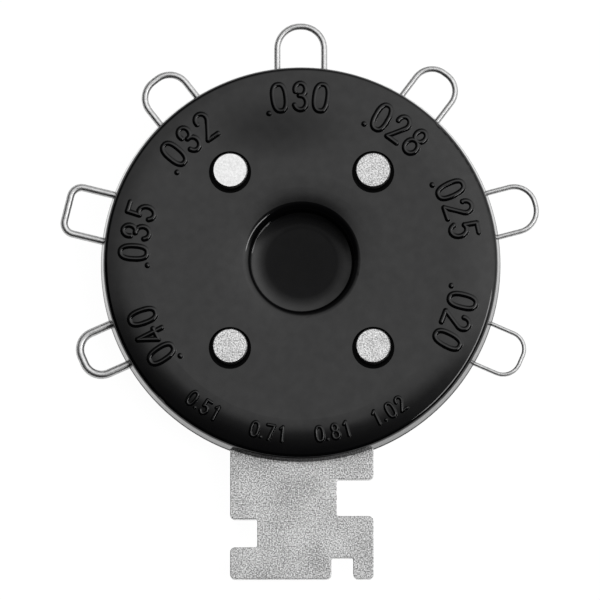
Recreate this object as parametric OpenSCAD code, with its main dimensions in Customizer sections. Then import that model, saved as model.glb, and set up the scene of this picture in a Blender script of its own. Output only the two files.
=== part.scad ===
// Wire-loop spark plug gap gauge: a round black moulded case in two halves that four rivets hold
// together, seven spring-steel wire loops of different gauge round its rim, and a flat notched
// steel blade for bending a plug's side electrode.
// It lies on its back. The origin is on the case's axis at the back face, +Z points out of the
// numbered face and the blade points along -Y. Millimetres.

/* [Case] */
// Diameter of the case at the parting line of its halves, mm
case_diameter = 48.7; // [36:0.1:80]
// Thickness of the front half at its middle, mm
front_thickness = 3.2; // [2.4:0.05:8]
// Thickness of the back half, mm
back_thickness = 3.15; // [2.4:0.05:8]
// Draft of the side walls, degrees
wall_draft = 9; // [0:0.5:15]
// Width of the margin where the front face falls away to the rim, mm
crown_width = 5; // [2:0.1:10]
// Radius of the curve that the margin falls away on, mm
crown_radius = 20; // [8:0.5:80]
// Radius of the fillet between the front face and the side wall, mm
front_fillet = 0.65; // [0.1:0.05:1.2]
// Radius of the fillet round the back face, mm
back_fillet = 0.5; // [0.1:0.05:1.2]
// Width of the small edge break at the parting line, mm
parting_break = 0.1; // [0.02:0.01:0.3]

/* [Thumb dimple] */
// Diameter of the dimple at the foot of its wall, mm
dimple_diameter = 12.1; // [6:0.1:18]
// Thickness of the plastic that is left under the middle of the dimple, mm
dimple_floor = 1; // [0.6:0.05:2]
// Width of the border where the dimple's floor rises towards its wall, mm
dimple_border = 2; // [0.5:0.1:2.5]
// Radius of the curve that the border rises on, mm
dimple_bowl = 8; // [4:0.5:20]
// Width by which the dimple's wall leans outwards up to its rolled edge, mm
dimple_lean = 0.1; // [0:0.05:1]
// Radius of the dimple's rolled edge, mm
dimple_roll = 1.1; // [0.2:0.05:1.2]
// Width of the band where the face sinks towards the dimple's edge, mm
dimple_ease = 1.7; // [0.5:0.1:3]
// Radius of the curve that this band sinks on, mm
dimple_ease_radius = 34; // [15:1:120]

/* [Rivets] */
// Distance of the rivet pattern's middle to the right of the case's axis, mm
pattern_right = 0.14; // [-1:0.01:1]
// Distance of the rivet pattern's middle above the case's axis, mm
pattern_up = 0.22; // [-1:0.01:1]
// Distance between the upper and the lower rivets' wells, mm
rivet_spacing = 21.56; // [16:0.05:30]
// Diameter of a rivet's flat head, mm
rivet_head_diameter = 4.25; // [3:0.05:6]
// Diameter of a rivet's shank, mm
rivet_shank_diameter = 3; // [2:0.05:4]
// Height of a head above the front face, mm
rivet_head_proud = 0.05; // [0:0.01:0.5]
// Edge break of a rivet's head, mm
rivet_head_break = 0.12; // [0.02:0.01:0.3]
// Diameter of the clinched end, mm
rivet_tail_diameter = 4.4; // [3.2:0.05:6]
// Thickness of the clinched end, mm
rivet_tail_thickness = 1; // [0.4:0.05:2]
// Diameter of the hollow in the clinched end, mm
rivet_hollow_diameter = 1.8; // [0.8:0.05:2.6]
// Depth of the hollow in the clinched end, mm
rivet_hollow_depth = 1.6; // [0.5:0.05:2.5]
// Gap round a rivet's head and clinched end in their wells, mm
rivet_well_clearance = 0.45; // [0.1:0.05:1]
// Running gap round a rivet's shank, mm
rivet_shank_clearance = 0.06; // [0.02:0.01:0.3]
// Distance by which the rivets sit above the middles of the front wells, mm
rivet_rise = 0.26; // [0:0.01:0.4]
// Thickness of the plastic under a rivet's head, mm
front_seat = 1.6; // [1.2:0.05:3]
// Thickness of the plastic over a clinched end, mm
back_seat = 1.6; // [1.2:0.05:3]

/* [Bending blade] */
// Width of the blade, mm; its edges run through the rivets' middles
blade_width = 17.42; // [12:0.05:24]
// Thickness of the blade, mm
blade_thickness = 1.5; // [0.8:0.05:1.9]
// Distance from the case's axis to the blade's tip, mm
blade_reach = 38.5; // [34:0.1:60]
// Depth of the large notch in the blade's right edge, mm
right_notch_depth = 4.45; // [2:0.05:6]
// Height of the large notch, mm
right_notch_height = 4.47; // [2:0.05:6]
// Distance from the blade's tip to the large notch, mm
right_notch_from_tip = 7.66; // [5:0.05:10]
// Depth of the notch in the blade's left edge, mm
left_notch_depth = 3.3; // [2:0.05:6]
// Height of the left notch, mm
left_notch_height = 3.46; // [2:0.05:6]
// Distance from the blade's tip to the left notch, mm
left_notch_from_tip = 3.84; // [2:0.05:8]
// Width of the notch in the blade's tip, mm
tip_notch_width = 2.66; // [1:0.05:4]
// Depth of the notch in the blade's tip, mm
tip_notch_depth = 2.56; // [1:0.05:4]
// Distance from the blade's right edge to the tip notch, mm
tip_notch_from_right = 2.47; // [1:0.05:5]
// Radius of the blade's outer corners, mm
blade_corner = 0.6; // [0.1:0.05:1]
// Radius of the fillets at the roots of the three notches, mm
notch_root = 0.25; // [0.05:0.05:1]
// Steel above the half-round notches that hold the lower rivets, mm
tang_margin = 1.3; // [0.6:0.05:3]
// Gap round the blade where it lies between the halves, mm
blade_clearance = 0.06; // [0.02:0.01:0.3]

/* [Wire gauges] */
// Diameter of the 0.020 in wire, mm
wire_020_diameter = 0.508; // [0.3:0.001:1.4]
// Diameter of the 0.025 in wire, mm
wire_025_diameter = 0.635; // [0.3:0.001:1.4]
// Diameter of the 0.028 in wire, mm
wire_028_diameter = 0.711; // [0.3:0.001:1.4]
// Diameter of the 0.030 in wire, mm
wire_030_diameter = 0.762; // [0.3:0.001:1.4]
// Diameter of the 0.032 in wire, mm
wire_032_diameter = 0.813; // [0.3:0.001:1.4]
// Diameter of the 0.035 in wire, mm
wire_035_diameter = 0.889; // [0.3:0.001:1.4]
// Diameter of the 0.040 in wire, mm
wire_040_diameter = 1.016; // [0.3:0.001:1.4]
// Gap round a wire in its moulded groove, mm
wire_clearance = 0.04; // [0.01:0.01:0.3]

/* [Wire loops] */
// Distance from the case's rim to the middle of the 0.020 in wire's tip, mm
reach_020 = 4.9; // [3.5:0.05:9]
// Distance from the case's rim to the middle of the 0.025 in wire's tip, mm
reach_025 = 5.2; // [3.5:0.05:9]
// Distance from the case's rim to the middle of the 0.028 in wire's tip, mm
reach_028 = 5.05; // [3.5:0.05:9]
// Distance from the case's rim to the middle of the 0.030 in wire's tip, mm
reach_030 = 5.02; // [3.5:0.05:9]
// Distance from the case's rim to the middle of the 0.032 in wire's tip, mm
reach_032 = 4.5; // [3.5:0.05:9]
// Distance from the case's rim to the middle of the 0.035 in wire's tip, mm
reach_035 = 4.93; // [3.5:0.05:9]
// Distance from the case's rim to the middle of the 0.040 in wire's tip, mm
reach_040 = 4.6; // [3.5:0.05:9]
// Distance between the legs' middles of the 0.020 in loop, mm
spread_020 = 5.32; // [4:0.02:6.4]
// Distance between the legs' middles of the 0.025 in loop, mm
spread_025 = 5.6; // [4:0.02:6.4]
// Distance between the legs' middles of the 0.028 in loop, mm
spread_028 = 5.36; // [4:0.02:6.4]
// Distance between the legs' middles of the 0.030 in loop, mm
spread_030 = 5.72; // [4:0.02:6.4]
// Distance between the legs' middles of the 0.032 in loop, mm
spread_032 = 5.64; // [4:0.02:6.4]
// Distance between the legs' middles of the 0.035 in loop, mm
spread_035 = 5.84; // [4:0.02:6.4]
// Distance between the legs' middles of the 0.040 in loop, mm
spread_040 = 5.4; // [4:0.02:6.4]
// Angle between neighbouring loops, degrees
loop_step = 37.9; // [34:0.1:39]
// Turn of the 0.020 in loop out of its even place, degrees
turn_020 = 0.1; // [-1:0.05:1]
// Turn of the 0.025 in loop out of its even place, degrees
turn_025 = 0.4; // [-1:0.05:1]
// Turn of the 0.028 in loop out of its even place, degrees
turn_028 = 0.9; // [-1:0.05:1]
// Turn of the 0.032 in loop out of its even place, degrees
turn_032 = 0.2; // [-1:0.05:1]
// Turn of the 0.035 in loop out of its even place, degrees
turn_035 = 0.35; // [-1:0.05:1]
// Turn of the 0.040 in loop out of its even place, degrees
turn_040 = 0.1; // [-1:0.05:1]
// Radius of the 0.020 in loop's shoulders along the wire's middle, mm
shoulder_020 = 2.1; // [1:0.05:3]
// Radius of the 0.025 in loop's shoulders along the wire's middle, mm
shoulder_025 = 2.6; // [1:0.05:3]
// Radius of the 0.028 in loop's shoulders along the wire's middle, mm
shoulder_028 = 2.45; // [1:0.05:3]
// Radius of the 0.030 in loop's shoulders along the wire's middle, mm
shoulder_030 = 2.75; // [1:0.05:3]
// Radius of the 0.032 in loop's shoulders along the wire's middle, mm
shoulder_032 = 2.5; // [1:0.05:3]
// Radius of the 0.035 in loop's shoulders along the wire's middle, mm
shoulder_035 = 1.35; // [1:0.05:3]
// Radius of the 0.040 in loop's shoulders along the wire's middle, mm
shoulder_040 = 2.2; // [1:0.05:3]
// Length of each leg inside the case, mm
leg_depth = 6; // [3:0.1:7]
// Radius of the bend that locks a leg in its groove, mm
hook_radius = 0.9; // [0.75:0.05:1.5]
// Straight length past that bend, mm
hook_length = 0.6; // [0.2:0.05:1.2]

/* [Hidden] */
$fn = 48;
eps = 0.01;

case_radius = case_diameter / 2;
case_thickness = back_thickness + front_thickness;
dimple_depth = front_thickness - dimple_floor;
front_well_radius = rivet_head_diameter / 2 + rivet_well_clearance;
tail_well_radius = rivet_tail_diameter / 2 + rivet_well_clearance;
shank_hole_radius = rivet_shank_diameter / 2 + rivet_shank_clearance;
rivet_x = blade_width / 2;
rivet_y = rivet_spacing / 2;
hook_seat = case_radius - leg_depth;

// Each loop: wire diameter, direction, spread, reach, shoulder radius
loop_020 = [wire_020_diameter, 90 - 3 * loop_step + turn_020, spread_020, reach_020, shoulder_020];
loop_025 = [wire_025_diameter, 90 - 2 * loop_step + turn_025, spread_025, reach_025, shoulder_025];
loop_028 = [wire_028_diameter, 90 - loop_step + turn_028, spread_028, reach_028, shoulder_028];
loop_030 = [wire_030_diameter, 90, spread_030, reach_030, shoulder_030];
loop_032 = [wire_032_diameter, 90 + loop_step + turn_032, spread_032, reach_032, shoulder_032];
loop_035 = [wire_035_diameter, 90 + 2 * loop_step + turn_035, spread_035, reach_035, shoulder_035];
loop_040 = [wire_040_diameter, 90 + 3 * loop_step + turn_040, spread_040, reach_040, shoulder_040];
LOOPS = [loop_020, loop_025, loop_028, loop_030, loop_032, loop_035, loop_040];

// Half section of one half of the case: flat on the parting plane, drafted wall, edge broken there
module half_section(height) {
    polygon([
        [0, 0],
        [case_radius - parting_break, 0],
        [case_radius, parting_break],
        [case_radius - (height - parting_break) * tan(wall_draft), height],
        [0, height],
    ]);
}

// What a fillet leaves over between its circle's middle, its two touching points and the sharp corner
module fillet_waste(middle, radius, touch_wall, corner, touch_face) {
    difference() {
        polygon([middle, touch_wall, corner, touch_face]);
        translate(middle) circle(radius);
    }
}

// Half section of the front half, with the falling margin and its fillet
module front_section() {
    wall = [cos(wall_draft), sin(wall_draft)];
    along = [-wall[1], wall[0]];
    wall_distance = (case_radius * cos(wall_draft) + parting_break * sin(wall_draft)) - front_fillet;
    start = case_radius - crown_width;
    crown_middle = [start, front_thickness - crown_radius];
    gap = crown_middle * wall - wall_distance;
    climb = sqrt(pow(crown_radius - front_fillet, 2) - gap * gap);
    middle = crown_middle - gap * wall + climb * along;
    outward = (middle - crown_middle) / norm(middle - crown_middle);
    touch_wall = middle + front_fillet * wall;
    touch_face = crown_middle + crown_radius * outward;
    difference() {
        intersection() {
            half_section(front_thickness);
            union() {
                square([start, front_thickness]);
                translate(crown_middle) circle(crown_radius, $fn = 256);
            }
        }
        fillet_waste(middle, front_fillet, touch_wall,
                     middle + front_fillet * (wall + outward) * 1.5, touch_face);
    }
}

// Half section of the back half, with its flat face up
module back_section() {
    height = back_thickness - back_fillet;
    edge = case_radius - (back_thickness - parting_break) * tan(wall_draft);
    middle = [(case_radius * cos(wall_draft) + parting_break * sin(wall_draft) - back_fillet
               - height * sin(wall_draft)) / cos(wall_draft), height];
    difference() {
        half_section(back_thickness);
        fillet_waste(middle, back_fillet, middle + back_fillet * [cos(wall_draft), sin(wall_draft)],
                     [edge + back_fillet, back_thickness + back_fillet / 2],
                     middle + [0, back_fillet]);
    }
}

// Cutter for the thumb dimple: floor with a rising border, leaning wall, rolled edge and the band
// where the face sinks towards it
module dimple_cut() {
    foot_radius = dimple_diameter / 2;
    flat_radius = foot_radius - dimple_border;
    mouth = foot_radius + dimple_lean;
    floor_height = case_thickness - dimple_depth;
    above = case_thickness + 1;
    ease_middle = [mouth + dimple_roll + dimple_ease, case_thickness - dimple_ease_radius];
    reach = dimple_ease_radius - dimple_roll;
    roll_middle = [mouth + dimple_roll, ease_middle[1] + sqrt(pow(reach, 2) - pow(dimple_ease, 2))];
    touch = ease_middle + dimple_ease_radius * (roll_middle - ease_middle) / reach;
    rotate_extrude() {
        difference() {
            polygon([[0, floor_height], [foot_radius, floor_height], [mouth, roll_middle[1]],
                     [mouth, above], [0, above]]);
            difference() {
                translate([flat_radius, floor_height - eps])
                    square([dimple_border + dimple_lean, dimple_bowl]);
                translate([flat_radius, floor_height + dimple_bowl]) circle(dimple_bowl, $fn = 256);
            }
        }
        difference() {
            translate([mouth - eps, roll_middle[1]])
                square([touch[0] - mouth + eps, above - roll_middle[1]]);
            translate(roll_middle) circle(dimple_roll);
        }
        difference() {
            translate([touch[0] - eps, roll_middle[1]])
                square([ease_middle[0] - touch[0] + eps, above - roll_middle[1]]);
            translate(ease_middle) circle(dimple_ease_radius, $fn = 512);
        }
    }
}

// Places its children at the middles of the four rivets, shifted up by the given distance
module at_rivets(rise = 0) {
    for (side = [-1, 1], level = [-1, 1])
        translate([pattern_right + side * rivet_x, pattern_up + level * rivet_y + rise, 0])
            children();
}

// Tip of a loop and the radius of its shoulders, along the wire's middle
function loop_tip(loop) = case_radius + loop[3];
function loop_shoulder(loop) = min(loop[4], loop[2] / 2 - 0.05);

// Straight legs and locking bends of one loop, drawn on the parting plane with +X outwards
module loop_legs(loop, extra = 0) {
    radius = loop[0] / 2 + extra;
    half = loop[2] / 2;
    bend_middle = half + hook_radius;
    leg_length = loop_tip(loop) - loop_shoulder(loop) - hook_seat;
    for (side = [0, 1]) mirror([0, side, 0]) {
        translate([hook_seat, half, 0]) rotate([0, 90, 0]) cylinder(r = radius, h = leg_length);
        translate([hook_seat, bend_middle, 0]) rotate([0, 0, 180])
            rotate_extrude(angle = 90) translate([hook_radius, 0]) circle(radius);
        translate([hook_seat - hook_radius, bend_middle, 0]) rotate([-90, 0, 0])
            cylinder(r = radius, h = hook_length + extra);
    }
}

// Shoulders and top of one loop
module loop_arch(loop) {
    radius = loop[0] / 2;
    shoulder = loop_shoulder(loop);
    flat = loop[2] / 2 - shoulder;
    for (side = [0, 1]) mirror([0, side, 0]) {
        translate([loop_tip(loop) - shoulder, flat, 0])
            rotate_extrude(angle = 90) translate([shoulder, 0]) circle(radius);
        translate([loop_tip(loop), 0, 0]) rotate([-90, 0, 0]) cylinder(r = radius, h = flat);
    }
}

// One wire loop in its place on the parting plane
module wire(loop) {
    translate([0, 0, back_thickness])
        rotate([0, 0, loop[1]]) {
            loop_legs(loop);
            loop_arch(loop);
        }
}

// Grooves that the seven wires lie in
module wire_grooves() {
    for (loop = LOOPS)
        translate([0, 0, back_thickness])
            rotate([0, 0, loop[1]]) loop_legs(loop, wire_clearance);
}

// Top edge of the blade's tang, just past the lower rivets
function tang_top() =
    pattern_up + rivet_rise - rivet_y + shank_hole_radius + tang_margin;

// Pocket that the blade's tang lies in, half in each half of the case
module blade_pocket() {
    width = blade_width + 2 * blade_clearance;
    depth = blade_thickness + 2 * blade_clearance;
    translate([pattern_right - width / 2, -case_radius - 1, back_thickness - depth / 2])
        cube([width, case_radius + 1 + tang_top() + blade_clearance, depth]);
}

// Rounds a corner: the corner's place, the way its two edges leave it and its radius
module corner_waste(place, across, along, radius = blade_corner) {
    translate(place)
        difference() {
            translate([across > 0 ? -1 : -radius, along > 0 ? -1 : -radius]) square(radius + 1);
            translate([across * radius, along * radius]) circle(radius);
        }
}

// Outline of the blade, seen from the front
module blade_outline() {
    left = pattern_right - blade_width / 2;
    right = pattern_right + blade_width / 2;
    tip = -blade_reach;
    notch_top = tip + right_notch_from_tip + right_notch_height;
    slot_right = right - tip_notch_from_right;
    difference() {
        translate([left, tip]) square([blade_width, blade_reach + tang_top()]);
        difference() {
            translate([right - right_notch_depth, tip + right_notch_from_tip])
                square([right_notch_depth + 1, right_notch_height]);
            corner_waste([right - right_notch_depth, tip + right_notch_from_tip], 1, 1, notch_root);
            corner_waste([right - right_notch_depth, notch_top], 1, -1, notch_root);
        }
        difference() {
            translate([left - 1, tip + left_notch_from_tip])
                square([left_notch_depth + 1, left_notch_height]);
            corner_waste([left + left_notch_depth, tip + left_notch_from_tip], -1, 1, notch_root);
            corner_waste([left + left_notch_depth, tip + left_notch_from_tip + left_notch_height],
                         -1, -1, notch_root);
        }
        difference() {
            translate([slot_right - tip_notch_width, tip - 1])
                square([tip_notch_width, tip_notch_depth + 1]);
            corner_waste([slot_right - tip_notch_width, tip + tip_notch_depth], 1, -1, notch_root);
            corner_waste([slot_right, tip + tip_notch_depth], -1, -1, notch_root);
        }
        for (side = [-1, 1])
            translate([pattern_right + side * rivet_x, pattern_up + rivet_rise - rivet_y])
                circle(shank_hole_radius);
        corner_waste([left, tip], 1, 1);
        corner_waste([left, tip + left_notch_from_tip], 1, -1);
        corner_waste([left, tip + left_notch_from_tip + left_notch_height], 1, 1);
        corner_waste([slot_right - tip_notch_width, tip], -1, 1);
        corner_waste([slot_right, tip], 1, 1);
        corner_waste([right, tip], -1, 1);
        corner_waste([right, tip + right_notch_from_tip], -1, -1);
        corner_waste([right, notch_top], -1, 1);
    }
}

// Front half of the case
module front_cover() {
    color([0.06, 0.06, 0.065])
    difference() {
        translate([0, 0, back_thickness]) rotate_extrude($fn = 180) front_section();
        translate([pattern_right, pattern_up, 0]) dimple_cut();
        at_rivets() {
            translate([0, 0, back_thickness + front_seat])
                cylinder(r = front_well_radius, h = case_thickness);
            translate([0, 0, back_thickness - 1])
                cylinder(r = shank_hole_radius + rivet_rise, h = case_thickness);
        }
        blade_pocket();
        wire_grooves();
    }
}

// Back half of the case
module back_cover() {
    color([0.05, 0.05, 0.055])
    difference() {
        translate([0, 0, back_thickness]) mirror([0, 0, 1]) rotate_extrude($fn = 180) back_section();
        at_rivets(rivet_rise) {
            translate([0, 0, -1])
                cylinder(r = tail_well_radius, h = back_thickness - back_seat + 1);
            cylinder(r = shank_hole_radius, h = case_thickness);
        }
        blade_pocket();
        wire_grooves();
    }
}

// Flat notched blade between the halves
module bending_blade() {
    color([0.7, 0.7, 0.71])
    translate([0, 0, back_thickness - blade_thickness / 2])
        linear_extrude(blade_thickness) blade_outline();
}

// Semi-tubular rivet: flat head in front, clinched end behind
module rivet(side, level) {
    tail_top = back_thickness - back_seat;
    tail_bottom = tail_top - rivet_tail_thickness;
    head_bottom = back_thickness + front_seat;
    head_top = case_thickness + rivet_head_proud;
    head_radius = rivet_head_diameter / 2;
    tail_radius = rivet_tail_diameter / 2;
    shank_radius = rivet_shank_diameter / 2;
    color([0.78, 0.78, 0.79])
    translate([pattern_right + side * rivet_x, pattern_up + level * rivet_y + rivet_rise, 0])
        rotate_extrude($fn = 64)
            difference() {
                polygon([
                    [0, tail_bottom],
                    [tail_radius - rivet_tail_thickness / 2, tail_bottom],
                    [tail_radius, tail_bottom + rivet_tail_thickness / 2],
                    [tail_radius, tail_top],
                    [shank_radius, tail_top],
                    [shank_radius, head_bottom],
                    [head_radius, head_bottom],
                    [head_radius, head_top - rivet_head_break],
                    [head_radius - rivet_head_break, head_top],
                    [0, head_top],
                ]);
                translate([-eps, tail_bottom - eps])
                    square([rivet_hollow_diameter / 2 + eps, rivet_hollow_depth + eps]);
            }
}

module wire_020() { color([0.75, 0.75, 0.76]) wire(loop_020); }
module wire_025() { color([0.75, 0.75, 0.76]) wire(loop_025); }
module wire_028() { color([0.75, 0.75, 0.76]) wire(loop_028); }
module wire_030() { color([0.75, 0.75, 0.76]) wire(loop_030); }
module wire_032() { color([0.75, 0.75, 0.76]) wire(loop_032); }
module wire_035() { color([0.75, 0.75, 0.76]) wire(loop_035); }
module wire_040() { color([0.75, 0.75, 0.76]) wire(loop_040); }
module rivet_upper_left() { rivet(-1, 1); }
module rivet_upper_right() { rivet(1, 1); }
module rivet_lower_left() { rivet(-1, -1); }
module rivet_lower_right() { rivet(1, -1); }

front_cover();
back_cover();
bending_blade();
wire_020();
wire_025();
wire_028();
wire_030();
wire_032();
wire_035();
wire_040();
rivet_upper_left();
rivet_upper_right();
rivet_lower_left();
rivet_lower_right();
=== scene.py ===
"""Dresses a wire-loop spark plug gap gauge: glossy black case, steel blade, wire loops and rivets.

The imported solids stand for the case, the wires and the rivets and get their finishes here. The
raised numbers and the blade with its rolled edges are made in this file. Sizes on the gauge are in
millimetres and are turned to metres where a mesh is made.
"""

import logging
import math
from collections.abc import Iterable, Sequence
from dataclasses import dataclass, field
from enum import Enum
from typing import Any

import bmesh
import bpy
from mathutils import Matrix, Vector
from mathutils.bvhtree import BVHTree


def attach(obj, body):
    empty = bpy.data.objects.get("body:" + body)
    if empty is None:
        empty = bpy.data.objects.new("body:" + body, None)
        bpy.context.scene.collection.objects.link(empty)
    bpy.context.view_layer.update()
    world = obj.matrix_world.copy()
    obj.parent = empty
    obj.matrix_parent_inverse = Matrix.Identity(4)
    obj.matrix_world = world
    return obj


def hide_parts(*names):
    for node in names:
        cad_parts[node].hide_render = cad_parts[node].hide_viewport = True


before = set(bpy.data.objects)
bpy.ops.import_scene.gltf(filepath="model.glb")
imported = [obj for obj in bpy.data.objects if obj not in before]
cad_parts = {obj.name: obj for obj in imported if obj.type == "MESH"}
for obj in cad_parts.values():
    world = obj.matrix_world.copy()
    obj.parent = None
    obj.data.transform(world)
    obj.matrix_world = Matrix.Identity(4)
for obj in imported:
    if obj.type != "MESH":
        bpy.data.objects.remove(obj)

MM = 0.001
LOG = logging.getLogger("gap_gauge")
FULLNESS = 0.8  # power that makes an oval fuller than an ellipse; 1 leaves it an ellipse
ABOVE_ALL = 0.05  # height in metres, over the whole gauge, from which the face is looked for

Point = tuple[float, float]
Path = list[Point]


def linear(hex_colour: str) -> tuple[float, float, float, float]:
    """Turns an sRGB hex colour into the linear colour that a socket takes.

    Args:
        hex_colour: Six hex digits with a leading #.

    Returns:
        Red, green, blue and an alpha of 1.
    """
    channels = [int(hex_colour[k : k + 2], 16) / 255 for k in (1, 3, 5)]
    red, green, blue = (c / 12.92 if c <= 0.04045 else ((c + 0.055) / 1.055) ** 2.4 for c in channels)
    return red, green, blue, 1.0


def add_node(
    tree: bpy.types.NodeTree,
    kind: str,
    settings: dict[str, Any] | None = None,
    inputs: dict[str | int, Any] | None = None,
) -> bpy.types.Node:
    """Adds a node, sets its properties, and sets or links its inputs.

    Args:
        tree: Node tree that takes the node.
        kind: Type name of the node.
        settings: Properties to set on it.
        inputs: Values for its inputs, or output sockets to link to them.

    Returns:
        The new node.
    """
    node = tree.nodes.new(kind)
    for name, value in (settings or {}).items():
        setattr(node, name, value)
    for key, value in (inputs or {}).items():
        if isinstance(value, bpy.types.NodeSocket):
            tree.links.new(value, node.inputs[key])
        else:
            node.inputs[key].default_value = value
    return node


def stops(ramp: bpy.types.Node, levels: Sequence[Point]) -> None:
    """Sets the stops of a colour ramp.

    Args:
        ramp: The ramp's node.
        levels: Each stop's place and grey level.
    """
    elements = ramp.color_ramp.elements
    while len(elements) < len(levels):
        elements.new(1.0)
    for element, (place, level) in zip(elements, levels):
        element.position = place
        element.color = (level, level, level, 1.0)


@dataclass(frozen=True)
class Finish:
    """Base of the finishes: a name, a colour and a surface.

    Attributes:
        name: Name of the material.
        colour: sRGB hex colour.
        roughness: Roughness of the surface.
    """

    name: str
    colour: str
    roughness: float

    def build(self) -> bpy.types.Material:
        """Makes the material.

        Returns:
            The node material, read at Object coordinates.
        """
        material = bpy.data.materials.new(self.name)
        material.use_nodes = True
        tree = material.node_tree
        tree.nodes.clear()
        place = add_node(tree, "ShaderNodeTexCoord").outputs["Object"]
        shader = add_node(tree, "ShaderNodeBsdfPrincipled")
        self.shade(tree, shader, place)
        add_node(tree, "ShaderNodeOutputMaterial", inputs={"Surface": shader.outputs[0]})
        return material

    def shade(self, tree: bpy.types.NodeTree, shader: bpy.types.Node, place: bpy.types.NodeSocket) -> None:
        """Sets the shader's inputs.

        Args:
            tree: The material's node tree.
            shader: Its Principled shader.
            place: Object coordinates.
        """
        shader.inputs["Base Color"].default_value = linear(self.colour)
        shader.inputs["Roughness"].default_value = self.roughness


def from_middle(
    tree: bpy.types.NodeTree, place: bpy.types.NodeSocket, middle: Point, size: Point
) -> bpy.types.NodeSocket:
    """Distance from the axis through a point of the face, against an ellipse about it.

    Args:
        tree: The material's node tree.
        place: Object coordinates.
        middle: The point, in millimetres.
        size: Half axes of the ellipse, in millimetres.

    Returns:
        The distance, which is 1 on the ellipse.
    """
    wide, tall = (1 / (half * MM) for half in size)
    offset = add_node(
        tree,
        "ShaderNodeVectorMath",
        {"operation": "MULTIPLY_ADD"},
        {0: place, 1: (wide, tall, 0), 2: (-middle[0] * MM * wide, -middle[1] * MM * tall, 0)},
    )
    distance = add_node(
        tree, "ShaderNodeVectorMath", {"operation": "LENGTH"}, {0: offset.outputs["Vector"]}
    )
    return distance.outputs["Value"]


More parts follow.
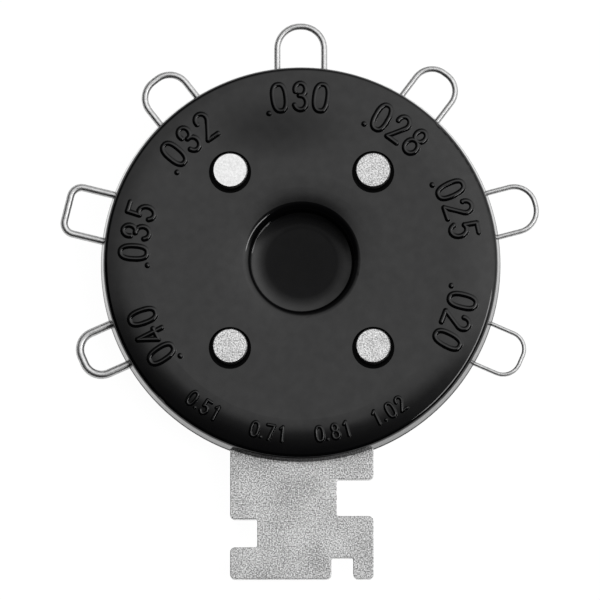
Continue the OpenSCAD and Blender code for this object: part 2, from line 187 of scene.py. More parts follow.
@dataclass(frozen=True)
class MouldedGloss(Finish):
    """Black phenolic plastic, compression moulded in a polished tool.

    The tool gives it a mirror gloss with a faint waviness a few millimetres long. The floors of the
    thumb dimple and of the rivets' wells get a much weaker gloss, which paints the shade and the dark
    reflections in these hollows. A weaker gloss along the parting line paints the dark reflection of
    its rounded edge, and one in a patch under the top number paints the shade of a shallow trough.

    Attributes:
        filler_ior: IOR under the skin, low so that the skin gives nearly all of the gloss.
        skin_ior: IOR of the resin skin.
        skin_roughness: Roughness of the resin skin.
        wave_mm: Length of the waviness.
        wave: Strength of the waviness and its height, in millimetres.
        grain_mm: Length of the fine grain.
        grain: Strength of the fine grain and its height, in millimetres.
        dimple: Middle of the dimple, in millimetres.
        eased: Radii between which the face sinks further towards the dimple, in millimetres.
        ease_depth: Depth of that sink, in millimetres.
        ease_power: How the depth grows from the outer radius inwards; 1 is a straight cone.
        gloss_by_radius: Gloss of the low surfaces against the distance from the dimple's middle;
        its low values on the dimple's floor paint the shade there.
        reach: Distance that this gloss is given up to, in millimetres.
        hollow_heights: Heights under which a surface in the hollows gets a weak gloss, which paints
        its shade, and over which it is glossy.
        patch: Middle of a patch under the top number whose weaker gloss paints the shade of a shallow
        trough there, in millimetres.
        patch_size: Its half axes, in millimetres.
        patch_gloss: Its gloss against the face's.
        mottle_mm: Length of the slight mottling of the gloss.
        mottle_noise: Noise values of its dullest and its glossiest places.
        mottle_gloss: Gloss of those places.
        parting: Height of the line where the halves meet, in millimetres.
        parting_shade_band: Distances from that line within which a weak gloss paints the dark
        reflection of its rounded edge, and past which it is glossy.
    """

    filler_ior: float = 1.1
    skin_ior: float = 1.46
    skin_roughness: float = 0.04
    wave_mm: float = 7.0
    wave: Point = (0.25, 0.2)
    grain_mm: float = 0.5
    grain: Point = (0.04, 0.02)
    dimple: Point = (0.14, 0.22)
    eased: Point = (7.0, 10.8)
    ease_depth: float = 0.13
    ease_power: float = 1.5
    gloss_by_radius: tuple[Point, ...] = (
        (0, 0.13),
        (4.3, 0.15),
        (4.9, 0.4),
        (5.8, 1),
        (7.4, 1),
        (7.6, 0),
        (17.5, 0),
        (17.7, 1),
    )
    reach: float = 30.0
    hollow_heights: Point = (5.0, 5.4)
    patch: Point = (-3.0, 16.6)
    patch_size: Point = (12.0, 6.0)
    patch_gloss: float = 0.55
    mottle_mm: float = 1.2
    mottle_noise: Point = (0.3, 0.7)
    mottle_gloss: Point = (0.86, 1.0)
    parting: float = 3.15
    parting_shade_band: Point = (0.45, 0.7)

    def shade(self, tree: bpy.types.NodeTree, shader: bpy.types.Node, place: bpy.types.NodeSocket) -> None:
        """Sets the filler and the skin over it.

        Args:
            tree: The material's node tree.
            shader: Its Principled shader.
            place: Object coordinates.
        """
        super().shade(tree, shader, place)
        shader.inputs["IOR"].default_value = self.filler_ior
        shader.inputs["Coat IOR"].default_value = self.skin_ior
        shader.inputs["Coat Roughness"].default_value = self.skin_roughness
        tree.links.new(self.gloss(tree, place), shader.inputs["Coat Weight"])
        normal = self.relief(tree, place)
        tree.links.new(normal, shader.inputs["Normal"])
        tree.links.new(normal, shader.inputs["Coat Normal"])

    def relief(self, tree: bpy.types.NodeTree, place: bpy.types.NodeSocket) -> bpy.types.NodeSocket:
        """Makes the waviness, the sink towards the dimple and the fine grain.

        Args:
            tree: The material's node tree.
            place: Object coordinates.

        Returns:
            The bent normal.
        """
        wave = add_node(
            tree,
            "ShaderNodeTexNoise",
            inputs={"Vector": place, "Scale": 1 / (self.wave_mm * MM), "Detail": 1.0, "Roughness": 0.4},
        )
        wavy = add_node(
            tree,
            "ShaderNodeBump",
            inputs={
                "Strength": self.wave[0],
                "Distance": self.wave[1] * MM,
                "Height": wave.outputs["Fac"],
            },
        )
        inwards = add_node(
            tree,
            "ShaderNodeMapRange",
            inputs={
                "Value": from_middle(tree, place, self.dimple, (1, 1)),
                "From Min": self.eased[1],
                "From Max": self.eased[0],
            },
        )
        depth = add_node(
            tree,
            "ShaderNodeMath",
            {"operation": "POWER"},
            {0: inwards.outputs["Result"], 1: self.ease_power},
        )
        eased = add_node(
            tree,
            "ShaderNodeBump",
            {"invert": True},
            {
                "Strength": 1.0,
                "Distance": self.ease_depth * MM,
                "Height": depth.outputs["Value"],
                "Normal": wavy.outputs["Normal"],
            },
        )
        grain = add_node(
            tree,
            "ShaderNodeTexNoise",
            inputs={"Vector": place, "Scale": 1 / (self.grain_mm * MM), "Detail": 2.0},
        )
        fine = add_node(
            tree,
            "ShaderNodeBump",
            inputs={
                "Strength": self.grain[0],
                "Distance": self.grain[1] * MM,
                "Height": grain.outputs["Fac"],
                "Normal": eased.outputs["Normal"],
            },
        )
        return fine.outputs["Normal"]

    def gloss(self, tree: bpy.types.NodeTree, place: bpy.types.NodeSocket) -> bpy.types.NodeSocket:
        """Makes the gloss: full on the face, weaker in the hollows, on the parting line and in a patch.

        The weaker places paint the shade and the dark reflections that fall there.

        Args:
            tree: The material's node tree.
            place: Object coordinates.

        Returns:
            The weight of the skin.
        """
        height = add_node(tree, "ShaderNodeSeparateXYZ", inputs={"Vector": place}).outputs["Z"]
        # The rivets' wells under these heights, and the dimple's floor by its ramp, get a weak gloss, which
        # paints the shade and dark reflections in these hollows.
        above = add_node(
            tree,
            "ShaderNodeMapRange",
            {"interpolation_type": "SMOOTHSTEP"},
            {"Value": height, "From Min": self.hollow_heights[0] * MM, "From Max": self.hollow_heights[1] * MM},
        )
        rings = from_middle(tree, place, self.dimple, (self.reach, self.reach))
        low = add_node(tree, "ShaderNodeValToRGB", inputs={"Fac": rings})
        stops(low, [(radius / self.reach, level) for radius, level in self.gloss_by_radius])
        gloss_outside_hollows = add_node(
            tree,
            "ShaderNodeMath",
            {"operation": "MAXIMUM"},
            {0: above.outputs["Result"], 1: low.outputs["Color"]},
        )
        # A weaker gloss in a patch under the top number paints the shade of a shallow trough there.
        patch = add_node(
            tree,
            "ShaderNodeMapRange",
            {"interpolation_type": "SMOOTHERSTEP"},
            {"Value": from_middle(tree, place, self.patch, self.patch_size), "To Min": self.patch_gloss},
        )
        mottle = add_node(
            tree,
            "ShaderNodeTexNoise",
            inputs={"Vector": place, "Scale": 1 / (self.mottle_mm * MM), "Detail": 4.0},
        )
        mottled = add_node(
            tree,
            "ShaderNodeMapRange",
            inputs={
                "Value": mottle.outputs["Fac"],
                "From Min": self.mottle_noise[0],
                "From Max": self.mottle_noise[1],
                "To Min": self.mottle_gloss[0],
                "To Max": self.mottle_gloss[1],
            },
        )
        # A weak gloss along the parting line paints the dark reflection of its rounded edge.
        above_parting = add_node(
            tree, "ShaderNodeMath", {"operation": "SUBTRACT"}, {0: height, 1: self.parting * MM}
        )
        off_parting = add_node(
            tree, "ShaderNodeMath", {"operation": "ABSOLUTE"}, {0: above_parting.outputs["Value"]}
        )
        clear_of_parting_shade = add_node(
            tree,
            "ShaderNodeMapRange",
            {"interpolation_type": "SMOOTHSTEP"},
            {
                "Value": off_parting.outputs["Value"],
                "From Min": self.parting_shade_band[0] * MM,
                "From Max": self.parting_shade_band[1] * MM,
            },
        )
        weight = gloss_outside_hollows.outputs["Value"]
        for share in (patch, mottled, clear_of_parting_shade):
            product = add_node(
                tree, "ShaderNodeMath", {"operation": "MULTIPLY"}, {0: weight, 1: share.outputs["Result"]}
            )
            weight = product.outputs["Value"]
        return weight


@dataclass(frozen=True)
class BareMetal(Finish):
    """Bare metal with a grain: tumbled strip steel, drawn wire or a sheared rivet face.

    Tumbling or cutting leaves a fine speckle of lighter and darker facets.

    Attributes:
        dark: sRGB hex colour of the darker facets.
        grain_mm: Size of a facet.
        bump: Strength of the facets' relief.
        relief_mm: Height of that relief.
        blotch_mm: Length of the slow change from brighter to duller.
        blotch_share: Share of the slow change in the whole.
        contrast: Range of the grain that is stretched over both colours.
        edge: sRGB hex tint of the reflection near the outline; a grey tint paints shade along it.
    """

    dark: str = "#808080"
    grain_mm: float = 0.25
    bump: float = 0.3
    relief_mm: float = 0.03
    blotch_mm: float = 4.0
    blotch_share: float = 0.15
    contrast: float = 0.3
    edge: str = "#ffffff"

    def shade(self, tree: bpy.types.NodeTree, shader: bpy.types.Node, place: bpy.types.NodeSocket) -> None:
        """Sets the metal, its speckle and its relief.

        Args:
            tree: The material's node tree.
            shader: Its Principled shader.
            place: Object coordinates.
        """
        grain = add_node(
            tree,
            "ShaderNodeTexNoise",
            inputs={"Vector": place, "Scale": 1 / (self.grain_mm * MM), "Detail": 3.0, "Roughness": 0.6},
        )
        blotch = add_node(
            tree,
            "ShaderNodeTexNoise",
            inputs={"Vector": place, "Scale": 1 / (self.blotch_mm * MM), "Detail": 2.0},
        )
        both = add_node(
            tree,
            "ShaderNodeMix",
            {"data_type": "FLOAT"},
            {0: self.blotch_share, 2: grain.outputs["Fac"], 3: blotch.outputs["Fac"]},
        )
        spread = add_node(
            tree,
            "ShaderNodeMapRange",
            inputs={
                "Value": both.outputs[0],
                "From Min": 0.5 - self.contrast / 2,
                "From Max": 0.5 + self.contrast / 2,
            },
        )
        colour = add_node(
            tree,
            "ShaderNodeMix",
            {"data_type": "RGBA"},
            {0: spread.outputs["Result"], 6: linear(self.dark), 7: linear(self.colour)},
        )
        relief = add_node(
            tree,
            "ShaderNodeBump",
            inputs={
                "Strength": self.bump,
                "Distance": self.relief_mm * MM,
                "Height": grain.outputs["Fac"],
            },
        )
        super().shade(tree, shader, place)
        shader.inputs["Metallic"].default_value = 1.0
        shader.inputs["Specular Tint"].default_value = linear(self.edge)
        tree.links.new(colour.outputs[2], shader.inputs["Base Color"])
        tree.links.new(relief.outputs["Normal"], shader.inputs["Normal"])


# Compression-moulded phenolic: a deep black under a mirror skin, in which the edge of the light shows
# sharply. Its grain is finer than the 0.5 mm drawn here, where it still shows as a faint unrest.
CASE_BLACK = MouldedGloss("phenolic_moulded_gloss", "#070708", 0.25)

# Tumbled strip steel: an even satin grey full of tiny sparkles. The real facets are too fine to show
# in the render, so they are drawn 0.17 mm across.
TUMBLED_STEEL = BareMetal(
    "strip_steel_tumbled",
    "#ececec",
    0.4,
    dark="#7a7a7a",
    grain_mm=0.17,
    bump=1.0,
    blotch_mm=5.0,
    contrast=0.2,
)

# Drawn spring wire: smooth and bright along its middle, grey along its outline, where a grey tint on
# the reflection paints shade. The marks of drawing are too fine to show, so they are drawn as soft
# spots of 0.35 mm.
DRAWN_WIRE = BareMetal(
    "spring_wire_drawn",
    "#dcdcdc",
    0.4,
    dark="#c0c0c0",
    grain_mm=0.35,
    bump=0.06,
    blotch_mm=3.0,
    edge="#707070",
)

# Rivet alloy as it was sheared: pale and torn. The tears are too fine to show, so they are drawn
# 0.2 mm across.
SHEARED_ALLOY = BareMetal(
    "rivet_alloy_sheared",
    "#f4f4f4",
    0.36,
    dark="#9c9c9c",
    grain_mm=0.2,
    bump=0.9,
    blotch_mm=1.5,
    contrast=0.22,
)

# The same alloy with a brighter, smoother face, on the upper left rivet. Its tears are drawn softer
# and 0.3 mm across.
BRIGHT_FACED_ALLOY = BareMetal(
    "rivet_alloy_bright_faced", "#f4f4f4", 0.33, dark="#dcdcdc", grain_mm=0.3, bump=0.3, blotch_mm=1.5
)


class Up(Enum):
    """Which way the tops of a row of numbers point."""

    OUTWARDS = 1
    INWARDS = -1


def arc(middle: Point, size: Point, start: float, end: float, steps: int = 14) -> Path:
    """Points along an elliptical arc.

    Args:
        middle: Middle of the ellipse.
        size: Its two half axes.
        start: First angle, in degrees.
        end: Last angle, in degrees.
        steps: Number of stretches.

    Returns:
        The points, from start to end.
    """
    turns = (math.radians(start + (end - start) * k / steps) for k in range(steps + 1))
    return [(middle[0] + size[0] * math.cos(t), middle[1] + size[1] * math.sin(t)) for t in turns]


def line(start: Point, end: Point, steps: int = 4) -> Path:
    """Points along a straight stroke.

    Args:
        start: First point.
        end: Last point.
        steps: Number of stretches.

    Returns:
        The points, from start to end.
    """
    return [
        (start[0] + (end[0] - start[0]) * k / steps, start[1] + (end[1] - start[1]) * k / steps)
        for k in range(steps + 1)
    ]


def fuller(value: float) -> float:
    """Moves a cosine or sine outwards, which turns a circle's arc into a fuller oval's."""
    return math.copysign(abs(value) ** FULLNESS, value)


def glyph(sign: str) -> list[Path]:
    """Strokes of one number sign, 1.58 wide and 3.28 tall along their middles.

    Args:
        sign: A digit or a dot.

    Returns:
        Its strokes as paths about the sign's middle, with a break at each sharp corner.
    """
    left, right, top, foot = -0.79, 0.79, 1.64, -1.64
    if sign == "0":
        ring = [(0.8 * fuller(x), top * fuller(y)) for x, y in arc((0, 0), (1, 1), 0, 360, 36)]
        return [ring[:-1] + ring[:1]]
    if sign == "1":
        return [line((-0.4, 1.15), (0.1, top), 2), line((0.1, top), (0.1, foot))]
    if sign == "2":
        hook = arc((0, 0.84), (0.72, 0.8), 190, -28)
        return [hook + [(-0.7, foot)], line((-0.7, foot), (0.76, foot))]
    if sign == "3":
        upper = arc((0, 0.86), (0.66, 0.78), 200, -75)
        lower = arc((0, -0.78), (0.76, 0.86), 78, -160)
        return [upper + [(-0.14, 0.09)], [(-0.14, 0.09)] + lower]
    if sign == "4":
        return [
            line((0.3, top), (-0.78, -0.62), 5),
            line((-0.78, -0.62), (0.66, -0.62)),
            line((0.3, top), (0.3, foot), 5),
        ]
    if sign == "5":
        bowl = arc((0, -0.66), (0.78, 0.98), 128, -152)
        return [line((0.74, top), (-0.46, top)), line((-0.46, top), bowl[0]), bowl]
    if sign == "6":
        ring = arc((0, -0.76), (0.78, 0.88), 150, 510, 20)
        return [ring, [(0.5, top)] + arc((0.35, -0.4), (1.1, 1.6), 112, 175, 6)]
    if sign == "7":
        return [line((left, top), (right, top)), line((right, top), (-0.2, foot), 5)]
    if sign == "8":
        upper = arc((0, 0.88), (0.64, 0.76), 270, -90, 20)
        lower = arc((0, -0.76), (0.78, 0.88), 90, 450, 20)
        return [upper, lower]
    if sign == "9":
        return [[(-x, -y) for x, y in path] for path in glyph("6")]
    return [line((-0.02, 0), (0.02, 0), 1)]


@dataclass
class NumberRow:
    """One number moulded along an arc of the face.

    Attributes:
        signs: Its signs, in reading order.
        angles: Direction of each sign from the case's axis, in degrees.
        radii: Distance of each sign's middle from the axis, in millimetres.
        scale: Size against the large numbers.
        up: Which way the tops point.
    """

    signs: str
    angles: Sequence[float]
    radii: Sequence[float]
    scale: float = 1.0
    up: Up = Up.OUTWARDS

    def paths(self) -> list[Path]:
        """Strokes of the whole row on the face.

        Returns:
            Paths in the case's frame, in millimetres.
        """
        placed = []
        for sign, angle, radius in zip(self.signs, self.angles, self.radii):
            turn = math.radians(angle)
            out = Vector((math.cos(turn), math.sin(turn)))
            top = out * self.up.value
            right = Vector((top.y, -top.x))
            for path in glyph(sign):
                points = (out * radius + (right * x + top * y) * self.scale for x, y in path)
                placed.append([(p.x, p.y) for p in points])
        return placed


@dataclass
class RaisedNumbers:
    """The numbers that stand proud of the front face, one for each wire.

    Attributes:
        rows: The large rows and the small ones along the lower margin.
        stroke: Half width of a large stroke at its foot, in millimetres.
        height: Height of a large stroke, in millimetres.
        sunk: Depth of a stroke's foot under the face, in millimetres.
        bell: Power that turns the round stroke into a bell-shaped ridge; 1 leaves it round.
        sides: Number of sides of a stroke, above and under the face.
        rings: Number of rings of its round ends.
        width_power: How the half width follows the scale of a row; 1 is in proportion.
        height_power: How the height follows it.
    """

    rows: list[NumberRow] = field(default_factory=list)
    stroke: float = 0.38
    height: float = 0.17
    sunk: float = 0.004
    bell: float = 3.0
    sides: int = 32
    rings: int = 16
    width_power: float = 0.6
    height_power: float = 0.3

    def ridge(
        self,
        tree: bpy.types.NodeTree,
        shape: bpy.types.NodeSocket,
        given: bpy.types.Node,
        upright: str,
    ) -> bpy.types.NodeSocket:
        """Turns a unit circle or ball into a ridge or a bump whose foot runs out into the face.

        Args:
            tree: Geometry tree.
            shape: The circle or ball.
            given: The tree's input node.
            upright: Axis of the shape that stands up, Y or Z.

        Returns:
            The reshaped geometry.
        """
        place = add_node(tree, "GeometryNodeInputPosition")
        parts = add_node(tree, "ShaderNodeSeparateXYZ", inputs={0: place.outputs[0]})
        belled = add_node(
            tree, "ShaderNodeMath", {"operation": "POWER"}, {0: parts.outputs[upright], 1: self.bell}
        )
        widths = {}
        for axis in "XYZ":
            source, factor = parts.outputs[axis], given.outputs["Half Width"]
            if axis == upright:
                source, factor = belled.outputs[0], given.outputs["Height"]
            scaled = add_node(tree, "ShaderNodeMath", {"operation": "MULTIPLY"}, {0: source, 1: factor})
            widths[axis] = scaled.outputs[0]
        shaped = add_node(tree, "ShaderNodeCombineXYZ", inputs=widths)
        moved = add_node(
            tree,
            "GeometryNodeSetPosition",
            inputs={"Geometry": shape, "Position": shaped.outputs[0]},
        )
        return moved.outputs[0]

    def stroke_tree(self, material: bpy.types.Material) -> bpy.types.GeometryNodeTree:
        """Builds the tree that turns drawn paths into raised strokes with round ends.

        Args:
            material: Finish of the strokes.

        Returns:
            The tree, with inputs for the half width, the height and the number of sides.
        """
        tree = bpy.data.node_groups.new("raised_stroke", "GeometryNodeTree")
        face = tree.interface
        face.new_socket("Geometry", in_out="INPUT", socket_type="NodeSocketGeometry")
        face.new_socket("Half Width", in_out="INPUT", socket_type="NodeSocketFloat")
        face.new_socket("Height", in_out="INPUT", socket_type="NodeSocketFloat")
        face.new_socket("Sides", in_out="INPUT", socket_type="NodeSocketInt")
        face.new_socket("Geometry", in_out="OUTPUT", socket_type="NodeSocketGeometry")
        given = add_node(tree, "NodeGroupInput")
        drawn = add_node(tree, "GeometryNodeMeshToCurve", inputs={"Mesh": given.outputs["Geometry"]})
        paths = add_node(
            tree,
            "GeometryNodeSetCurveNormal",
            {"mode": "Z_UP"},
            {"Curve": drawn.outputs[0]},
        )
        circle = add_node(
            tree,
            "GeometryNodeCurvePrimitiveCircle",
            inputs={"Resolution": given.outputs["Sides"], "Radius": 1.0},
        )
        profile = self.ridge(tree, circle.outputs["Curve"], given, "Y")
        tube = add_node(
            tree,
            "GeometryNodeCurveToMesh",
            inputs={"Curve": paths.outputs[0], "Profile Curve": profile},
        )
        ends = add_node(tree, "GeometryNodeCurveEndpointSelection")
        ball = add_node(
            tree,
            "GeometryNodeMeshUVSphere",
            inputs={"Segments": given.outputs["Sides"], "Rings": self.rings, "Radius": 1.0},
        )
        balls = add_node(
            tree,
            "GeometryNodeInstanceOnPoints",
            inputs={
                "Points": paths.outputs[0],
                "Selection": ends.outputs["Selection"],
                "Instance": self.ridge(tree, ball.outputs["Mesh"], given, "Z"),
            },
        )
        joined = add_node(tree, "GeometryNodeJoinGeometry")
        tree.links.new(tube.outputs["Mesh"], joined.inputs[0])
        tree.links.new(balls.outputs["Instances"], joined.inputs[0])
        smooth = add_node(
            tree, "GeometryNodeSetShadeSmooth", inputs={"Geometry": joined.outputs[0], "Shade Smooth": True}
        )
        real = add_node(tree, "GeometryNodeRealizeInstances", inputs={"Geometry": smooth.outputs[0]})
        dressed = add_node(
            tree,
            "GeometryNodeSetMaterial",
            inputs={"Geometry": real.outputs[0], "Material": material},
        )
        add_node(tree, "NodeGroupOutput", inputs={0: dressed.outputs[0]})
        return tree

    def build(self, face: bpy.types.Object, material: bpy.types.Material) -> list[bpy.types.Object]:
        """Makes the large and the small numbers on the face.

        Args:
            face: The front half's node, whose surface carries the strokes.
            material: Finish of the strokes.

        Returns:
            One plain mesh object for each size of number.
        """
        tree = self.stroke_tree(material)
        made = []
        for scale in sorted({row.scale for row in self.rows}, reverse=True):
            paths = [path for row in self.rows if row.scale == scale for path in row.paths()]
            name = "raised_numbers_large" if scale == 1 else "raised_numbers_small"
            drawn = paths_on_face(name + "_paths", paths, face, self.sunk)
            sizes = {
                "Half Width": self.stroke * scale**self.width_power * MM,
                "Height": self.height * scale**self.height_power * MM,
                "Sides": self.sides,
            }
            made.append(bake(name, drawn, tree, sizes))
        return made


def paths_on_face(name: str, paths: Iterable[Path], face: bpy.types.Object, sunk: float) -> bpy.types.Object:
    """Lays flat paths on a surface, a little under it.

    Args:
        name: Name of the object.
        paths: Paths in millimetres.
        face: Object whose upper surface they lie on.
        sunk: Depth under the surface, in millimetres.

    Returns:
        An object of edges only.
    """
    tree = BVHTree.FromObject(face, bpy.context.evaluated_depsgraph_get())
    points, edges = [], []
    for path in paths:
        first = len(points)
        closed = len(path) > 2 and path[0] == path[-1]
        for x, y in path[:-1] if closed else path:
            hit = tree.ray_cast(Vector((x * MM, y * MM, ABOVE_ALL)), Vector((0, 0, -1)))[0]
            points.append((x * MM, y * MM, hit.z - sunk * MM))
        count = len(points) - first
        edges += [(first + k, first + k + 1) for k in range(count - 1)]
        if closed:
            edges.append((first + count - 1, first))
    mesh = bpy.data.meshes.new(name)
    mesh.from_pydata(points, edges, [])
    drawn = bpy.data.objects.new(name, mesh)
    bpy.context.scene.collection.objects.link(drawn)
    return drawn


def bake(
    name: str, source: bpy.types.Object, tree: bpy.types.GeometryNodeTree, inputs: dict[str, Any]
) -> bpy.types.Object:
    """Runs a geometry tree on an object and keeps the result as a plain mesh.

    Args:
        name: Name of the new object.
        source: Object that the tree starts from; it is removed.
        tree: Geometry tree.
        inputs: Values of the tree's named inputs.

    Returns:
        The new object, with no modifier.
    """
    modifier = source.modifiers.new("tree", "NODES")
    modifier.node_group = tree
    for item in tree.interface.items_tree:
        if item.item_type == "SOCKET" and item.in_out == "INPUT" and item.name in inputs:
            modifier[item.identifier] = inputs[item.name]
    graph = bpy.context.evaluated_depsgraph_get()
    mesh = bpy.data.meshes.new_from_object(source.evaluated_get(graph))
    mesh.name = name
    source.modifiers.remove(modifier)
    bpy.data.objects.remove(source)
    piece = bpy.data.objects.new(name, mesh)
    bpy.context.scene.collection.objects.link(piece)
    return piece


@dataclass
class Case:
    """The two moulded halves and the numbers on the front one.

    Attributes:
        numbers: The raised numbers.
    """

    numbers: RaisedNumbers = field(default_factory=RaisedNumbers)

    def build(self) -> list[bpy.types.Object]:
        """Dresses the halves and adds the numbers.

        Returns:
            The new pieces.
        """
        black = CASE_BLACK.build()
        for node in ("front_cover", "back_cover"):
            dress(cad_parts[node], black)
        pieces = self.numbers.build(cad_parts["front_cover"], black)
        for piece in pieces:
            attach(piece, "root")
        return pieces


@dataclass
class Blade:
    """The notched bending blade, with the edges that blanking and tumbling leave.

    Attributes:
        edge: Width of the rolled edge, in millimetres.
        steps: Number of faces across the rolled edge.
        merge: Distance under which points of the solid are one, in millimetres.
        flat: Angle under which neighbouring faces are one flat face, in degrees.
        sharp: Angle over which an edge is rolled, in degrees.
    """

    edge: float = 0.08
    steps: int = 3
    merge: float = 0.002
    flat: float = 1.0
    sharp: float = 60.0

    def build(self) -> bpy.types.Object:
        """Makes the blade from its solid and rolls its edges.

        Returns:
            The piece that stands for the blade's node.
        """
        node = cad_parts["bending_blade"]
        mesh = node.data.copy()
        mesh.name = "bending_blade_rolled"
        work = bmesh.new()
        work.from_mesh(mesh)
        bmesh.ops.remove_doubles(work, verts=work.verts, dist=self.merge * MM)
        bmesh.ops.dissolve_limit(
            work, angle_limit=math.radians(self.flat), verts=work.verts, edges=work.edges
        )
        sharp = [e for e in work.edges if e.calc_face_angle(0) > math.radians(self.sharp)]
        rolled = bmesh.ops.bevel(
            work,
            geom=sharp,
            offset=self.edge * MM,
            segments=self.steps,
            profile=0.5,
            affect="EDGES",
            clamp_overlap=True,
        )
        for face in work.faces:
            face.smooth = False
        for face in rolled["faces"]:
            face.smooth = True
        work.to_mesh(mesh)
        work.free()
        piece = bpy.data.objects.new("bending_blade_rolled", mesh)
        bpy.context.scene.collection.objects.link(piece)
        dress(piece, TUMBLED_STEEL.build())
        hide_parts("bending_blade")
        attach(piece, "root")
        return piece


@dataclass
class Fasteners:
    """The four rivets, of which one has a brighter, smoother face.

    Attributes:
        bright_rivet: Node of the brighter rivet.
        rough: Nodes of the others.
    """

    bright_rivet: str = "rivet_upper_left"
    rough: tuple[str, ...] = ("rivet_upper_right", "rivet_lower_left", "rivet_lower_right")

    def build(self) -> None:
        """Dresses the rivets."""
        dress(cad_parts[self.bright_rivet], BRIGHT_FACED_ALLOY.build())
        metal = SHEARED_ALLOY.build()
        for node in self.rough:
            dress(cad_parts[node], metal)


@dataclass
class WireLoops:
    """The seven gauge wires.

    Attributes:
        nodes: Their nodes, from the thinnest to the thickest.
    """

    nodes: tuple[str, ...] = (
        "wire_020",
        "wire_025",
        "wire_028",
        "wire_030",
        "wire_032",
        "wire_035",
        "wire_040",
    )

    def build(self) -> None:
        """Dresses the wires."""
        metal = DRAWN_WIRE.build()
        for node in self.nodes:
            dress(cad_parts[node], metal)


def dress(piece: bpy.types.Object, material: bpy.types.Material) -> None:
    """Puts one material on every slot of a piece.

    Args:
        piece: The piece, which gets a slot if it has none.
        material: The material.
    """
    if not piece.material_slots:
        piece.data.materials.append(material)
    for slot in piece.material_slots:
        slot.material = material


@dataclass
class Studio:
    """Floor, light and camera.

    A wide soft light covers the sky behind the gauge and ends just past the point straight above it,
    so the flat face mirrors the light and the margin towards the blade mirrors the dark side. It is
    brightest at its middle, to the right of straight above, and nearly dark a right angle from there.

    Attributes:
        aim: Point at the picture's middle, in millimetres.
        lean: How far the view leans to the right and towards the blade, as slopes.
        distance: Camera distance, in metres.
        span_mm: Width of the picture at the aim, in millimetres.
        dark_side: Direction of the dark side, in degrees.
        edge: Brightness of the soft light across its edge, against the sine of the angle from
            straight above towards the dark side.
        middle: Direction of the soft light's middle.
        fall: Brightness of the soft light against the cosine of the angle from its middle.
        level: Brightness of the soft light against white.
        strip_from: Direction of the strip lamp and its angle from straight above, in degrees.
        strip: Length and width of the strip lamp, in metres.
        strip_distance: Distance of the strip lamp, in metres.
        strip_level: Brightness of the strip lamp against white.
        floor_half: Half of the floor's side, in metres.
        floor_colour: sRGB hex colour of the floor, which takes the gauge's shadow.
        floor_glow: Brightness of the floor's own light against white.
        floor_clean: Share of its own light in what the camera sees; the rest shows the shadow.
        sensor_mm: Width of the camera's sensor.
        clip: Nearest and farthest distance that the camera sees, in metres.
    """

    aim: tuple[float, float, float] = (-0.05, -4.7, 6.35)
    lean: Point = (0.01, 0.126)
    distance: float = 1.5
    span_mm: float = 72.95
    dark_side: float = 262.0
    edge: tuple[Point, ...] = (
        (-0.12, 1.0),
        (-0.075, 0.9),
        (-0.035, 0.76),
        (0.0, 0.56),
        (0.035, 0.34),
        (0.07, 0.2),
        (0.14, 0.1),
        (0.26, 0.03),
        (0.6, 0.0),
    )
    middle: tuple[float, float, float] = (0.45, 0.13, 0.883)
    fall: tuple[Point, ...] = (
        (0.0, 0.02),
        (0.3, 0.03),
        (0.46, 0.08),
        (0.587, 0.25),
        (0.695, 0.46),
        (0.79, 0.64),
        (0.892, 0.714),
        (0.95, 0.82),
        (1.0, 0.95),
    )
    level: float = 1.9
    strip_from: Point = (338.0, 36.0)
    strip: Point = (0.36, 0.13)
    strip_distance: float = 0.7
    strip_level: float = 7.0
    floor_half: float = 3.0
    floor_colour: str = "#f0f0f0"
    floor_glow: float = 1.08
    floor_clean: float = 0.9
    sensor_mm: float = 36.0
    clip: Point = (0.01, 10.0)

    def build(self) -> None:
        """Makes the floor, the lights, the world and the camera."""
        self.floor()
        self.lamp()
        self.world()
        self.camera()

    def floor(self) -> None:
        """Makes a pale floor that the camera sees as white and that keeps a faint shadow.

        The white card gives the eye an even ground with the soft grey under the wires. What mirrors
        it sees plain white.
        """
        mesh = bpy.data.meshes.new("floor")
        half = self.floor_half
        mesh.from_pydata(
            [(-half, -half, 0), (half, -half, 0), (half, half, 0), (-half, half, 0)],
            [],
            [(0, 1, 2, 3)],
        )
        floor = bpy.data.objects.new("floor", mesh)
        bpy.context.scene.collection.objects.link(floor)
        material = bpy.data.materials.new("floor_white_card")
        material.use_nodes = True
        tree = material.node_tree
        tree.nodes.clear()
        ray = add_node(tree, "ShaderNodeLightPath")
        card = add_node(
            tree, "ShaderNodeBsdfDiffuse", inputs={"Color": linear(self.floor_colour)}
        )
        glow = add_node(
            tree, "ShaderNodeEmission", inputs={"Color": (1, 1, 1, 1), "Strength": self.floor_glow}
        )
        seen = add_node(
            tree,
            "ShaderNodeMath",
            {"operation": "MULTIPLY"},
            {0: ray.outputs["Is Camera Ray"], 1: self.floor_clean},
        )
        mirrored = add_node(
            tree,
            "ShaderNodeMath",
            {"operation": "ADD", "use_clamp": True},
            {0: ray.outputs["Is Glossy Ray"], 1: seen.outputs[0]},
        )
        mix = add_node(
            tree,
            "ShaderNodeMixShader",
            inputs={0: mirrored.outputs[0], 1: card.outputs[0], 2: glow.outputs[0]},
        )
        add_node(tree, "ShaderNodeOutputMaterial", inputs={"Surface": mix.outputs[0]})
        dress(floor, material)

    def lamp(self) -> None:
        """Adds a small strip lamp, which draws the thin bright lines along the edges."""
        data = bpy.data.lights.new("strip_lamp", "AREA")
        data.shape = "RECTANGLE"
        data.size, data.size_y = self.strip
        data.energy = self.strip_level * math.pi * data.size * data.size_y
        lamp = bpy.data.objects.new("strip_lamp", data)
        turn, tilt = (math.radians(a) for a in self.strip_from)
        way = Vector((math.sin(tilt) * math.cos(turn), math.sin(tilt) * math.sin(turn), math.cos(tilt)))
        along = Vector((-math.sin(turn), math.cos(turn), 0))
        lamp.location = way * self.strip_distance
        lamp.rotation_euler = Matrix((along, way.cross(along), way)).transposed().to_euler()
        lamp.visible_camera = False
        bpy.context.scene.collection.objects.link(lamp)

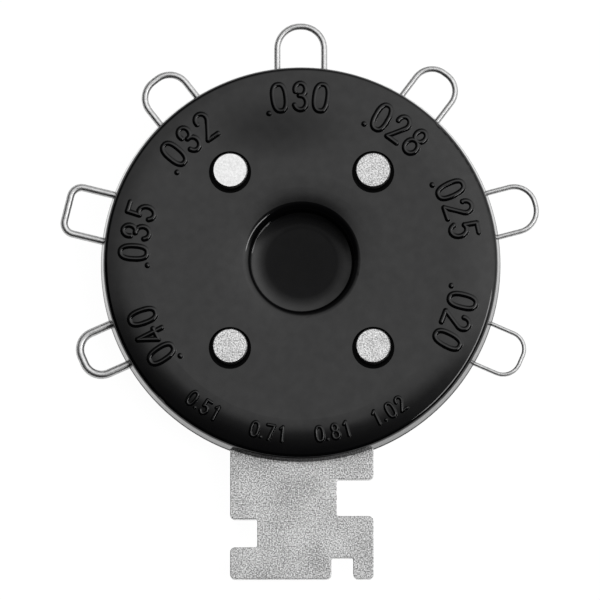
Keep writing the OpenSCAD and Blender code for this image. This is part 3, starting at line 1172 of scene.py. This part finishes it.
    def world(self) -> None:
        """Makes the soft light and the dark room round it; the camera sees both as white."""
        world = bpy.data.worlds.new("studio_sky")
        bpy.context.scene.world = world
        world.use_nodes = True
        tree = world.node_tree
        tree.nodes.clear()
        way = add_node(tree, "ShaderNodeTexCoord").outputs["Generated"]
        turn = math.radians(self.dark_side)
        towards_dark = add_node(
            tree,
            "ShaderNodeVectorMath",
            {"operation": "DOT_PRODUCT"},
            {0: way, 1: (math.cos(turn), math.sin(turn), 0)},
        )
        across = add_node(
            tree,
            "ShaderNodeMapRange",
            inputs={"Value": towards_dark.outputs["Value"], "From Min": -1.0, "From Max": 1.0},
        )
        edge = add_node(tree, "ShaderNodeValToRGB", inputs={"Fac": across.outputs["Result"]})
        stops(edge, [((place + 1) / 2, level) for place, level in self.edge])
        off_middle = add_node(
            tree, "ShaderNodeVectorMath", {"operation": "DOT_PRODUCT"}, {0: way, 1: self.middle}
        )
        fall = add_node(tree, "ShaderNodeValToRGB", inputs={"Fac": off_middle.outputs["Value"]})
        stops(fall, self.fall)
        light = add_node(
            tree,
            "ShaderNodeMath",
            {"operation": "MULTIPLY"},
            {0: edge.outputs["Color"], 1: fall.outputs["Color"]},
        )
        scaled = add_node(
            tree, "ShaderNodeMath", {"operation": "MULTIPLY"}, {0: light.outputs[0], 1: self.level}
        )
        ray = add_node(tree, "ShaderNodeLightPath")
        seen = add_node(
            tree,
            "ShaderNodeMath",
            {"operation": "MAXIMUM"},
            {0: scaled.outputs[0], 1: ray.outputs["Is Camera Ray"]},
        )
        back = add_node(
            tree,
            "ShaderNodeBackground",
            inputs={"Color": (1, 1, 1, 1), "Strength": seen.outputs[0]},
        )
        add_node(tree, "ShaderNodeOutputWorld", inputs={"Surface": back.outputs[0]})

    def camera(self) -> None:
        """Places the camera over the face, leaning a little to the right and towards the blade."""
        data = bpy.data.cameras.new("camera")
        data.sensor_width = self.sensor_mm
        data.lens = data.sensor_width * self.distance / (self.span_mm * MM)
        data.clip_start, data.clip_end = self.clip
        camera = bpy.data.objects.new("camera", data)
        aim = Vector(self.aim) * MM
        back = Vector((self.lean[0], -self.lean[1], 1)).normalized()
        camera.location = aim + back * self.distance
        across = Vector((0, 1, 0)).cross(back).normalized()
        camera.rotation_euler = Matrix((across, back.cross(across), back)).transposed().to_euler()
        bpy.context.scene.collection.objects.link(camera)
        bpy.context.scene.camera = camera


def gauge_numbers() -> RaisedNumbers:
    """The seven large numbers and the four small ones of this gauge.

    A number is given by the direction of its middle, in degrees, and its signs stand at the same
    steps from there in every number.

    Returns:
        The rows.
    """
    large = {".020": -21, ".025": 18.5, ".028": 53.5, ".030": 90, ".032": 132, ".035": 169.5, ".040": 206.5}
    large_steps, large_radii = (11.8, 7.2, 0, -7.2), (18.6, 20.3, 20.3, 20.3)
    small = {"0.51": 236.5, "0.71": 259.5, "0.81": 281, "1.02": 300.5}
    small_steps, small_radii, small_scale = (-4.7, -2.3, 0.5, 4.4), (21.2, 21.95, 21.2, 21.2), 0.53
    rows = [
        NumberRow(signs, [middle + step for step in large_steps], large_radii)
        for signs, middle in large.items()
    ]
    rows += [
        NumberRow(signs, [middle + step for step in small_steps], small_radii, small_scale, Up.INWARDS)
        for signs, middle in small.items()
    ]
    return RaisedNumbers(rows)


def main() -> None:
    """Builds the dressed gauge and the studio round it."""
    logging.basicConfig(level=logging.INFO, format="%(name)s: %(message)s")
    scene = bpy.context.scene
    scene.view_settings.view_transform = "Standard"
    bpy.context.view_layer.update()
    for piece in Case(gauge_numbers()).build():
        LOG.info("%s: %d faces", piece.name, len(piece.data.polygons))
    blade = Blade().build()
    LOG.info("%s: %d faces", blade.name, len(blade.data.polygons))
    Fasteners().build()
    LOG.info("rivets dressed")
    WireLoops().build()
    LOG.info("wires dressed")
    Studio().build()


if __name__ == "__main__":
    main()
